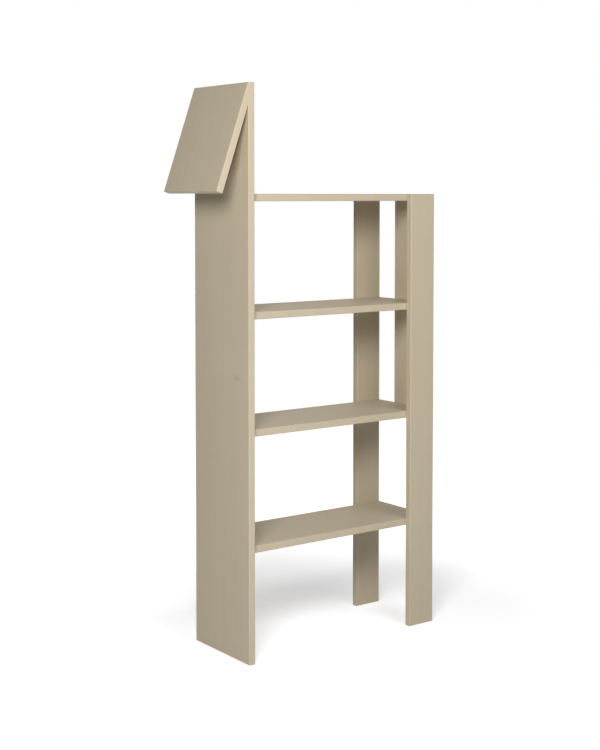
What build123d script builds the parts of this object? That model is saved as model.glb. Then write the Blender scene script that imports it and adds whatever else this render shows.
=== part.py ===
from build123d import *
from dataclasses import dataclass
from math import cos, pi, radians, sin, sqrt, tan
import os

# Giraffe-shaped bookshelf, in millimetres and degrees.
#
# A tall neck board carries a slanted head board on its outer face. Four shelves run from the neck
# to a front and a rear leg, and a tail board closes the middle of the right end of the upper three.
# X runs from the neck to the tail, Y from front to back and Z up. The pieces are drawn with the
# neck's outer face at X = 0 and the front at Y = 0, and are moved when they are saved, so that the
# origin is on the floor, under the middle of the whole bookshelf.

# Boards
board_thickness = 18.0
edge_radius = 2.0
neck_depth = 240.0
neck_rise = 264.0  # of the neck above the top shelf
shelf_length = 572.0
shelf_spacing = 284.0
leg_width = 80.0
tail_width = 80.0
head_angle = 19.2  # of the head from upright

# Holes that stop inside a board, and the play of what goes into them
blind_skin = 7.0
end_gap = 0.8
clearance = 0.1

# Dowels, one beside each cam bolt
dowel_diameter = 8.0
dowel_length = 30.0
dowel_bevel = 1.0
pair_spacing = 32.0
neck_pair_inset = 30.0

# Cams, let into the undersides of the shelves
cam_diameter = 15.0
cam_setback = 24.0
cam_past_bolt = 5.0
cam_rim = 2.0
cam_offset = 0.8
cam_slot = 3.6
cam_slot_start = 150.0
cam_slot_sweep = 180.0
cam_window = 7.0
cam_floor = 2.2
drive_length = 7.0
drive_width = 1.6

# Cam bolts, screwed into the neck, the legs and the tail up to their shoulders
bolt_bore_diameter = 8.0
thread_diameter = 5.0
shank_diameter = 7.0
bolt_neck_diameter = 3.0
bolt_head_diameter = 6.0
bolt_head_length = 3.6

# Dowels in the glued bevel between head and neck
head_dowel_diameter = 6.0
head_dowel_count = 3
head_dowel_spacing = 80.0
head_dowel_rise = 15.0  # above the lower end of the glued face
head_skin = 3.0

# Flat sides in place of the round of each hidden fitting and its hole, which keeps them light
dowel_sides = 10
cam_sides = 12
bolt_sides = 8

# Where the boards stand
slope = radians(head_angle)
shelf_depth = neck_depth - 2 * board_thickness
shelf_end = board_thickness + shelf_length
shelf_names = ["top_shelf", "upper_shelf", "middle_shelf", "lower_shelf"]
tail_shelves = shelf_names[:-1]
shelf_tops = {name: shelf_spacing * (len(shelf_names) - row) for row, name in enumerate(shelf_names)}
leg_height = shelf_tops["top_shelf"]
tail_bottom = shelf_tops[tail_shelves[-1]] - board_thickness
neck_height = leg_height + neck_rise

# The head's outer face starts at the neck's top and its lower end comes down to the top shelf's top
head_length = (neck_rise - board_thickness * sin(slope)) / cos(slope)
bevel_height = board_thickness / sin(slope)

# The outermost point of the head is on the rounding of its lower outer edge
head_reach = head_length * sin(slope) - edge_radius * (sin(slope) + cos(slope) - 1)
middle_x = (shelf_end + board_thickness - head_reach) / 2
middle_y = neck_depth / 2

# How wide and deep the holes are
dowel_bore_diameter = dowel_diameter + 2 * clearance
head_bore_diameter = head_dowel_diameter + 2 * clearance
pilot_diameter = thread_diameter + 2 * clearance
blind_depth = board_thickness - blind_skin
seated_depth = blind_depth - end_gap
shelf_dowel_depth = dowel_length - seated_depth + end_gap
cam_pocket_depth = board_thickness / 2 + cam_past_bolt
head_dowel_drop = bevel_height - head_dowel_rise
head_bore_depth = (head_dowel_drop - head_bore_diameter / 2) * tan(slope) - head_skin
head_dowel_length = seated_depth + head_bore_depth - end_gap

# The cam as made, and its hollow
cam_radius = cam_diameter / 2 - clearance
cam_hollow_radius = cam_radius - cam_rim - cam_offset
cam_hollow_reach = cam_hollow_radius * cos(pi / bolt_sides)  # to the middle of a flat side

UP = Vector(0, 0, 1)
RIGHT = Vector(1, 0, 0)
BACK = Vector(0, 1, 0)
STANDING = (Align.CENTER, Align.CENTER, Align.MIN)


@dataclass
class Pair:
    """A cam bolt and a dowel that hold a shelf to another board, half way up the shelf's edge."""

    board: str
    seat: Vector  # where the bolt crosses the joint
    inward: Vector  # from the other board into the shelf
    along: Vector  # from the bolt to the dowel

    @property
    def dowel_seat(self):
        return self.seat + self.along * pair_spacing

    @property
    def frame(self):
        return Plane(origin=self.seat, x_dir=self.inward, z_dir=UP)


def rounded_over(block, heel=None):
    """Rounds the long edges of a board or glued boards, but not the heel, where two boards meet.

    The short edges through the thickness stay crisp, where the rounded ones meet in a mitre.
    """
    long_edges = block.edges().filter_by(lambda edge: edge.length > board_thickness + edge_radius)
    return fillet([edge for edge in long_edges if edge != heel], edge_radius)


def board(corner, size):
    """One straight board, from its lowest corner."""
    return Pos(*corner) * rounded_over(Box(*size, align=(Align.MIN, Align.MIN, Align.MIN)))


def prism(radius, length, sides):
    """An upright bar with flat sides in place of a round."""
    return extrude(RegularPolygon(radius, sides), length)


def rod(mouth, direction, diameter, length, sides=dowel_sides):
    """A bar or hole that starts at its mouth and runs along a direction."""
    return Plane(origin=mouth, z_dir=direction) * prism(diameter / 2, length, sides)


def pairs_of(shelf):
    """The fittings of one shelf: two pairs at the neck, one at each leg and one at the tail."""
    level = shelf_tops[shelf] - board_thickness / 2
    leg_x = shelf_end - leg_width / 2 - pair_spacing / 2
    front, back = board_thickness, neck_depth - board_thickness
    found = [
        Pair("neck_panel", Vector(board_thickness, front + neck_pair_inset, level), RIGHT, BACK),
        Pair("neck_panel", Vector(board_thickness, back - neck_pair_inset, level), RIGHT, -BACK),
        Pair("front_leg", Vector(leg_x, front, level), BACK, RIGHT),
        Pair("rear_leg", Vector(leg_x, back, level), -BACK, RIGHT),
    ]
    if shelf in tail_shelves:
        tail_y = middle_y - pair_spacing / 2
        found.append(Pair("tail_board", Vector(shelf_end, tail_y, level), -RIGHT, BACK))
    return found


def shelf_board(shelf):
    """A shelf, drilled from its edges for bolts and dowels and from below for the cams."""
    bottom = shelf_tops[shelf] - board_thickness
    corner = (board_thickness, board_thickness, bottom)
    holes = []
    for pair in pairs_of(shelf):
        cam_axis = pair.seat + pair.inward * cam_setback
        cam_axis.Z = bottom
        holes.append(rod(pair.seat, pair.inward, bolt_bore_diameter, cam_setback, bolt_sides))
        holes.append(rod(pair.dowel_seat, pair.inward, dowel_bore_diameter, shelf_dowel_depth))
        holes.append(rod(cam_axis, UP, cam_diameter, cam_pocket_depth, cam_sides))
    return board(corner, (shelf_length, shelf_depth, board_thickness)) - holes


def holes_in(name):
    """The holes in the neck, a leg or the tail for the bolts and dowels of every shelf."""
    pairs = [pair for shelf in shelf_names for pair in pairs_of(shelf) if pair.board == name]
    bolt_holes = [rod(pair.seat, -pair.inward, pilot_diameter, blind_depth, bolt_sides) for pair in pairs]
    dowel_holes = [rod(pair.dowel_seat, -pair.inward, dowel_bore_diameter, blind_depth) for pair in pairs]
    return bolt_holes + dowel_holes


def head_dowel_seats():
    """Where the head's dowels cross the glued face."""
    first = middle_y - head_dowel_spacing * (head_dowel_count - 1) / 2
    level = neck_height - head_dowel_drop
    return [Vector(0, first + head_dowel_spacing * number, level) for number in range(head_dowel_count)]


def neck_and_head():
    """Neck and head, rounded over as one after gluing, so that no seam shows, and then parted."""
    ridge = Vector(0, 0, neck_height)
    tip = ridge - Vector(sin(slope), 0, cos(slope)) * head_length
    inner_tip = tip + Vector(cos(slope), 0, -sin(slope)) * board_thickness
    heel = ridge - UP * bevel_height
    foot = [Vector(0, 0, 0), Vector(board_thickness, 0, 0), Vector(board_thickness, 0, neck_height)]
    side = make_face(Polyline(*foot, ridge, tip, inner_tip, heel, close=True))
    block = extrude(side, amount=neck_depth, dir=BACK)
    heel_line = block.edges().filter_by(Axis.Y).sort_by_distance(heel + BACK * middle_y)[0]
    glued = rounded_over(block, heel_line)
    neck_holes = [rod(seat, RIGHT, head_bore_diameter, blind_depth) for seat in head_dowel_seats()]
    head_holes = [rod(seat, -RIGHT, head_bore_diameter, head_bore_depth) for seat in head_dowel_seats()]
    neck = split(glued, bisect_by=Plane.YZ, keep=Keep.TOP) - neck_holes - holes_in("neck_panel")
    head = split(glued, bisect_by=Plane.YZ, keep=Keep.BOTTOM) - head_holes
    return neck, head


def leg(name, front):
    corner = (shelf_end - leg_width, front, 0)
    return board(corner, (leg_width, board_thickness, leg_height)) - holes_in(name)


def tail_board():
    corner = (shelf_end, middle_y - tail_width / 2, tail_bottom)
    return board(corner, (board_thickness, tail_width, leg_height - tail_bottom)) - holes_in("tail_board")


def dowel(seat, inward, diameter=dowel_diameter, length=dowel_length):
    """A dowel with bevelled ends that starts in the blind hole behind its seat."""
    pin = rod(seat - inward * seated_depth, inward, diameter, length)
    ends = pin.faces().filter_by(Axis(seat, inward))
    return chamfer(ends.edges(), dowel_bevel)


def head_dowel(seat):
    return dowel(seat, -RIGHT, head_dowel_diameter, head_dowel_length)


def cam():
    """A cam, its drive face on the origin, closed on the head of a bolt that comes from -X.

    The hollow is off centre, so the rim that pulls the bolt's head is thickest where the cam is
    closed, and the slot in the rim ends in the window that the head goes in by.
    """
    height = cam_pocket_depth - 2 * clearance
    bolt_level = board_thickness / 2 - clearance
    slot = Cylinder(cam_diameter, cam_slot, arc_size=cam_slot_sweep, align=(None, None, Align.CENTER))
    window = Box(cam_diameter, cam_window, cam_window, align=(Align.MIN, Align.CENTER, Align.CENTER))
    window_turn = cam_slot_start + cam_slot_sweep
    drive_depth = bolt_level - cam_window / 2 - cam_floor
    drive = Box(drive_length, drive_width, drive_depth, align=STANDING)
    body = prism(cam_radius, height, cam_sides)
    body -= Pos(cam_offset, 0, bolt_level - cam_window / 2) * prism(cam_hollow_radius, height, bolt_sides)
    body -= Pos(0, 0, bolt_level) * Rot(0, 0, cam_slot_start) * slot
    body -= Pos(0, 0, bolt_level) * Rot(0, 0, window_turn) * window
    return body - [drive, Rot(0, 0, 90) * drive]


def cam_bolt():
    """A cam bolt along +X, its shoulder on the joint at X = 0 and its head behind the cam's rim."""
    hollow_wall = sqrt(cam_hollow_reach**2 - (bolt_head_diameter / 2) ** 2)
    head_start = cam_setback + cam_offset - hollow_wall + clearance
    neck_start = cam_setback - cam_diameter / 2
    sections = [
        (-seated_depth, 0, thread_diameter),
        (0, neck_start, shank_diameter),
        (neck_start, head_start, bolt_neck_diameter),
        (head_start, head_start + bolt_head_length, bolt_head_diameter),
    ]
    bolt = Part()
    for start, end, diameter in sections:
        bolt += rod(RIGHT * start, RIGHT, diameter, end - start, bolt_sides)
    return bolt


def save(name, solids):
    """Write one node, moved to the bookshelf's own origin."""
    moved = Pos(-middle_x, -middle_y, 0) * Compound(children=list(solids))
    export_step(moved, f"parts/{name}.step")


os.makedirs("parts", exist_ok=True)

neck_panel, head_panel = neck_and_head()
save("neck_panel", [neck_panel])
save("head_panel", [head_panel])
save("front_leg", [leg("front_leg", 0)])
save("rear_leg", [leg("rear_leg", neck_depth - board_thickness)])
save("tail_board", [tail_board()])

one_cam = Pos(cam_setback, 0, clearance - board_thickness / 2) * cam()
one_bolt = cam_bolt()
for shelf in shelf_names:
    pairs = pairs_of(shelf)
    save(shelf, [shelf_board(shelf)])
    save(f"{shelf}_cams", [pair.frame * one_cam for pair in pairs])
    save(f"{shelf}_cam_bolts", [pair.frame * one_bolt for pair in pairs])
    save(f"{shelf}_dowels", [dowel(pair.dowel_seat, pair.inward) for pair in pairs])

save("head_dowels", [head_dowel(seat) for seat in head_dowel_seats()])
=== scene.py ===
from math import radians

import bpy
from mathutils import Euler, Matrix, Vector


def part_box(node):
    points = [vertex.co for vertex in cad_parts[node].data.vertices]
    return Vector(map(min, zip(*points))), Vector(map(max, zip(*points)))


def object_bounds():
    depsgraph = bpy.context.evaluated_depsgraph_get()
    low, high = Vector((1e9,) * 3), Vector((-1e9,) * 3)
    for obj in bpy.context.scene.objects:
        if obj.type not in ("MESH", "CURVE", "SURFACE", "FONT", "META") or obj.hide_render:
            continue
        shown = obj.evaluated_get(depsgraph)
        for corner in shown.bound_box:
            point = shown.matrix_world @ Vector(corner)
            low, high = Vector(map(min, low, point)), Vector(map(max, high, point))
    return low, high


# Giraffe-shaped bookshelf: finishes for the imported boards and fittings, with camera, light and floor.
#
# Lengths are in metres, angles in degrees and colours as a screen shows them, from 0 to 255.
# X runs from the neck to the tail, Y from the front to the back and Z up.

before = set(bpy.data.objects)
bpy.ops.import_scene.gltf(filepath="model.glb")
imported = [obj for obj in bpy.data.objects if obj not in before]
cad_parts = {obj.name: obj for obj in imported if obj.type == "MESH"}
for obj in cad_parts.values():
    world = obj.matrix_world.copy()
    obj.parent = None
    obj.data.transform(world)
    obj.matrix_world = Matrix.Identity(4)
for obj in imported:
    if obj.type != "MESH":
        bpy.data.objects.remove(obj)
cad_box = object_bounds()
middle = (cad_box[0] + cad_box[1]) / 2

# Camera, fitted to the straight edges of the photograph
camera_place = Vector((-2.0994, -2.8143, 1.1329))
camera_turn = 36.473  # to the right of straight back
camera_dip = 2.807
camera_lens = 66.0  # on the default 36 mm sensor
camera_shift = -0.15  # frames the object with so little dip

# Soft square lamps that face the middle of the bookshelf: how far each is turned from the front to
# the right, how far it rises from level, and its distance, width and power in watts
lamps = {
    "key": dict(turn=-44, rise=24, distance=2.8, size=0.85, power=54),
    "front": dict(turn=0, rise=36, distance=2.6, size=0.8, power=12.5),
    "right": dict(turn=22, rise=30, distance=2.6, size=0.8, power=6),
    "left": dict(turn=-80, rise=15, distance=2.6, size=1.2, power=0.9),
    "low": dict(turn=-36, rise=-20, distance=1.4, size=0.4, power=1.2),
    "rear": dict(turn=175, rise=32, distance=2.6, size=1.4, power=7),
    "rear_right": dict(turn=100, rise=12, distance=2.6, size=1.4, power=6),
}

# Floor, which glows for the camera so that it looks white outside the shadows; the glow grows
# with the distance from its middle, between the two radii
floor_half = 40.0
floor_colour = (249, 250, 253)
floor_glow = 0.47
floor_glow_middle = Vector((0.17, -0.08, 0))
floor_glow_inner = 0.3
floor_glow_outer = 1.25

# Lacquer over wood; a fineness is the number of noise cells in a metre
lacquer_colour = (199, 186, 161)
lacquer_spread = 0.032  # of the colour, up and down
lacquer_shine = 0.2
grain_stretch = 60.0
grain_fineness = 55.0
furrow_fineness = 900.0
cloud_fineness = 5.0
cloud_stretch = 3.0
streak_share = 0.6  # of the change in colour; the clouds have the rest
board_offset = Vector((0.31, 0.17, 0.53))  # from one board's grain to the next one's
peel_fineness = 450.0
peel_depth = 0.00001
furrow_depth = 0.00002
lacquer_roughness = (0.55, 0.62)

# A knot in the neck's outer face
knot_place = Vector((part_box("neck_panel")[0].x, -0.067, 0.693))
knot_half = Vector((0.009, 0.015, 0.007))
knot_colour = (172, 157, 129)
knot_share = 0.5
knot_fade = (0.2, 1.6)  # in the knot's half sizes
knot_wander = 0.003
knot_wander_fineness = 140.0

# Fittings
zinc_colour = (196, 197, 199)
zinc_fineness = 900.0
zinc_roughness = (0.5, 0.36)
zinc_depth = 0.00003
steel_colour = (214, 212, 204)
steel_fineness = 2500.0
steel_roughness = (0.24, 0.36)
steel_depth = 0.00001
beech_colour = (214, 180, 138)
beech_fineness = 900.0
beech_stretch = 12.0
beech_roughness = (0.7, 0.58)
beech_depth = 0.00004


def linear(colour, factor=1.0):
    """A colour of 0 to 255 as the light that a shader takes, with its alpha."""
    shares = [level / 255 for level in colour]
    light = [share / 12.92 if share <= 0.04045 else ((share + 0.055) / 1.055) ** 2.4 for share in shares]
    return [level * factor for level in light] + [1]


class Shader:
    """A new material, and short calls for the nodes that the finishes share."""

    def __init__(self, name):
        self.material = bpy.data.materials.new(name)
        self.material.use_nodes = True
        self.tree = self.material.node_tree
        self.place = self.node("ShaderNodeTexCoord").outputs["Object"]

    def feed(self, socket, value):
        """Links or sets one input."""
        if isinstance(value, bpy.types.NodeSocket):
            self.tree.links.new(value, socket)
        else:
            socket.default_value = value

    def node(self, kind, inputs=None, **settings):
        """Adds a node; its inputs go by name or by number."""
        made = self.tree.nodes.new(kind)
        for name, value in settings.items():
            setattr(made, name, value)
        for key, value in (inputs or {}).items():
            self.feed(made.inputs[key], value)
        return made

    def stretched(self, offset, turn, scale):
        """Object coordinates, turned and stretched about a place."""
        inputs = {"Vector": self.place, "Location": offset, "Rotation": turn, "Scale": scale}
        return self.node("ShaderNodeMapping", inputs, vector_type="TEXTURE").outputs[0]

    def noise(self, place, fineness, detail=3.0, roughness=0.5):
        inputs = {"Vector": place, "Scale": fineness, "Detail": detail, "Roughness": roughness}
        return self.node("ShaderNodeTexNoise", inputs).outputs[0]

    def ramp(self, value, start, end, low=0.0, high=1.0):
        """A value moved smoothly from one range to another."""
        inputs = {"Value": value, "From Min": start, "From Max": end, "To Min": low, "To Max": high}
        return self.node("ShaderNodeMapRange", inputs, interpolation_type="SMOOTHSTEP").outputs[0]

    def blend(self, share, first, second):
        """A mix of two colours."""
        inputs = {0: share, 6: first, 7: second}
        return self.node("ShaderNodeMix", inputs, data_type="RGBA").outputs[2]

    def math(self, operation, first, second):
        return self.node("ShaderNodeMath", {0: first, 1: second}, operation=operation).outputs[0]

    def bump(self, height, depth, normal=None):
        inputs = {"Height": height, "Distance": depth, "Strength": 1.0}
        if normal:
            inputs["Normal"] = normal
        return self.node("ShaderNodeBump", inputs).outputs[0]

    def surface(self, **inputs):
        """Sets the inputs of the material's own surface shader, named with _ for a space."""
        shader = self.tree.nodes["Principled BSDF"]
        for name, value in inputs.items():
            self.feed(shader.inputs[name.replace("_", " ")], value)
        return self.material


def knot_strength(made):
    """How strongly the knot shows: most at its middle, fading out along a slightly ragged edge."""
    noise = made.node("ShaderNodeTexNoise", {"Vector": made.place, "Scale": knot_wander_fineness})
    moved = made.node(
        "ShaderNodeVectorMath",
        {0: noise.outputs["Color"], 1: [knot_wander] * 3, 2: made.place},
        operation="MULTIPLY_ADD",
    )
    near = made.node(
        "ShaderNodeMapping",
        {"Vector": moved.outputs[0], "Location": knot_place, "Scale": knot_half},
        vector_type="TEXTURE",
    )
    away = made.node("ShaderNodeVectorMath", {0: near.outputs[0]}, operation="LENGTH").outputs["Value"]
    return made.ramp(away, *knot_fade, knot_share, 0)


def lacquer(name, turn, number, knot=False):
    """Matte lacquer, with the grain below it faint in its colour and in its sheen.

    The grain runs upright before it is turned, and the number keeps two boards from being alike.
    """
    made = Shader(name)
    offset = board_offset * number
    grain = made.stretched(offset, turn, (1, 1, grain_stretch))
    streaks = made.noise(grain, grain_fineness, detail=4.0, roughness=0.6)
    furrows = made.noise(grain, furrow_fineness, detail=2.0)
    clouds = made.noise(made.stretched(offset, turn, (1, 1, cloud_stretch)), cloud_fineness)
    peel = made.noise(made.place, peel_fineness, detail=1.0)

    streak_shade = made.ramp(streaks, 0.3, 0.7, 0, streak_share)
    cloud_shade = made.ramp(clouds, 0.3, 0.7, 0, 1 - streak_share)
    shade = made.math("ADD", streak_shade, cloud_shade)
    colour = made.blend(
        shade, linear(lacquer_colour, 1 - lacquer_spread), linear(lacquer_colour, 1 + lacquer_spread)
    )
    if knot:
        colour = made.blend(knot_strength(made), colour, linear(knot_colour))

    normal = made.bump(furrows, furrow_depth, made.bump(peel, peel_depth))
    return made.surface(
        Base_Color=colour,
        Roughness=made.ramp(streaks, 0.35, 0.65, *lacquer_roughness),
        Specular_IOR_Level=lacquer_shine,
        Normal=normal,
    )


def zinc():
    """Die-cast zinc, slightly mottled."""
    made = Shader("cam_zinc")
    mottle = made.noise(made.place, zinc_fineness, detail=4.0)
    return made.surface(
        Base_Color=made.blend(made.ramp(mottle, 0.3, 0.7), linear(zinc_colour, 0.85), linear(zinc_colour)),
        Metallic=1.0,
        Roughness=made.ramp(mottle, 0.3, 0.7, *zinc_roughness),
        Normal=made.bump(mottle, zinc_depth),
    )


def steel():
    """Zinc-plated steel with fine marks of turning."""
    made = Shader("bolt_steel")
    marks = made.noise(made.place, steel_fineness, detail=2.0)
    return made.surface(
        Base_Color=made.blend(marks, linear(steel_colour, 0.9), linear(steel_colour)),
        Metallic=1.0,
        Roughness=made.ramp(marks, 0.3, 0.7, *steel_roughness),
        Normal=made.bump(marks, steel_depth),
    )


def beech():
    """Bare beech with short darker flecks."""
    made = Shader("dowel_beech")
    along = made.stretched((0, 0, 0), (0, 0, 0), (1, beech_stretch, 1))
    fibres = made.noise(along, beech_fineness, detail=4.0)
    return made.surface(
        Base_Color=made.blend(made.ramp(fibres, 0.35, 0.6), linear(beech_colour, 0.8), linear(beech_colour)),
        Roughness=made.ramp(fibres, 0.3, 0.7, *beech_roughness),
        Normal=made.bump(fibres, beech_depth),
    )


def dress(node, material):
    """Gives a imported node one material."""
    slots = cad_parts[node].data.materials
    slots.clear()
    slots.append(material)


def seen_only(tree):
    """1 for what the camera sees, also in a mirror or through glass, and 0 for light on the object."""
    path = tree.nodes.new("ShaderNodeLightPath")
    total = path.outputs["Is Camera Ray"]
    for name in ("Is Glossy Ray", "Is Transmission Ray"):
        either = tree.nodes.new("ShaderNodeMath")
        either.operation = "MAXIMUM"
        tree.links.new(total, either.inputs[0])
        tree.links.new(path.outputs[name], either.inputs[1])
        total = either.outputs[0]
    return total


def add_world():
    """A surround that looks white and sheds no light on the object."""
    world = bpy.data.worlds.new("surround")
    bpy.context.scene.world = world
    world.use_nodes = True
    tree = world.node_tree
    background = tree.nodes["Background"]
    background.inputs["Color"].default_value = (1, 1, 1, 1)
    tree.links.new(seen_only(tree), background.inputs["Strength"])


def add_floor():
    """A pale floor that fades into the white surround and keeps the shadows."""
    mesh = bpy.data.meshes.new("floor")
    corners = [(x * floor_half, y * floor_half, 0) for x, y in ((-1, -1), (1, -1), (1, 1), (-1, 1))]
    mesh.from_pydata(corners, [], [(0, 1, 2, 3)])
    floor = bpy.data.objects.new("floor", mesh)
    bpy.context.collection.objects.link(floor)
    made = Shader("floor_paper")
    away = made.node("ShaderNodeVectorMath", {0: made.place, 1: floor_glow_middle}, operation="DISTANCE")
    glow = made.ramp(away.outputs["Value"], floor_glow_inner, floor_glow_outer, floor_glow)
    made.surface(
        Base_Color=linear(floor_colour),
        Roughness=0.9,
        Specular_IOR_Level=0.0,
        Emission_Color=(1, 1, 1, 1),
        Emission_Strength=made.math("MULTIPLY", seen_only(made.tree), glow),
    )
    mesh.materials.append(made.material)


def add_lamp(name, turn, rise, distance, size, power):
    """A soft square lamp that faces the middle of the bookshelf and isn't seen itself."""
    data = bpy.data.lights.new(name, "AREA")
    data.size = size
    data.energy = power
    lamp = bpy.data.objects.new(name, data)
    away = Vector((0, -1, 0))
    away.rotate(Euler((radians(-rise), 0, 0)))
    away.rotate(Euler((0, 0, radians(turn))))
    lamp.location = middle + away * distance
    lamp.rotation_euler = away.to_track_quat("Z", "Y").to_euler()
    lamp.visible_camera = False
    bpy.context.collection.objects.link(lamp)


def add_camera():
    """A camera at the photograph's place and angle."""
    data = bpy.data.cameras.new("camera")
    data.lens = camera_lens
    data.shift_y = camera_shift
    camera = bpy.data.objects.new("camera", data)
    camera.location = camera_place
    camera.rotation_euler = (radians(90 - camera_dip), 0, radians(-camera_turn))
    bpy.context.collection.objects.link(camera)
    bpy.context.scene.camera = camera


# The grain of the neck, the legs and the tail is upright, and the shelves' runs from neck to tail
head_low, head_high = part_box("head_panel")
lean = Vector((head_high.x - head_low.x, 0, head_high.z - head_low.z))
upright = (0, 0, 0)
level = (0, radians(90), 0)
sloping = tuple(lean.to_track_quat("Z", "Y").to_euler())
grain_turns = {
    "neck_panel": upright,
    "head_panel": sloping,
    "top_shelf": level,
    "upper_shelf": level,
    "middle_shelf": level,
    "lower_shelf": level,
    "front_leg": upright,
    "rear_leg": upright,
    "tail_board": upright,
}
for number, (node, turn) in enumerate(grain_turns.items()):
    dress(node, lacquer(f"lacquer_{node}", turn, number, knot=node == "neck_panel"))

cam_zinc = zinc()
bolt_steel = steel()
dowel_beech = beech()
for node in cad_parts:
    if node.endswith("_cams"):
        dress(node, cam_zinc)
    elif node.endswith("_cam_bolts"):
        dress(node, bolt_steel)
    elif node.endswith("_dowels"):
        dress(node, dowel_beech)

add_camera()
add_world()
add_floor()
for name, facts in lamps.items():
    add_lamp(name, **facts)
bpy.context.scene.view_settings.view_transform = "Standard"
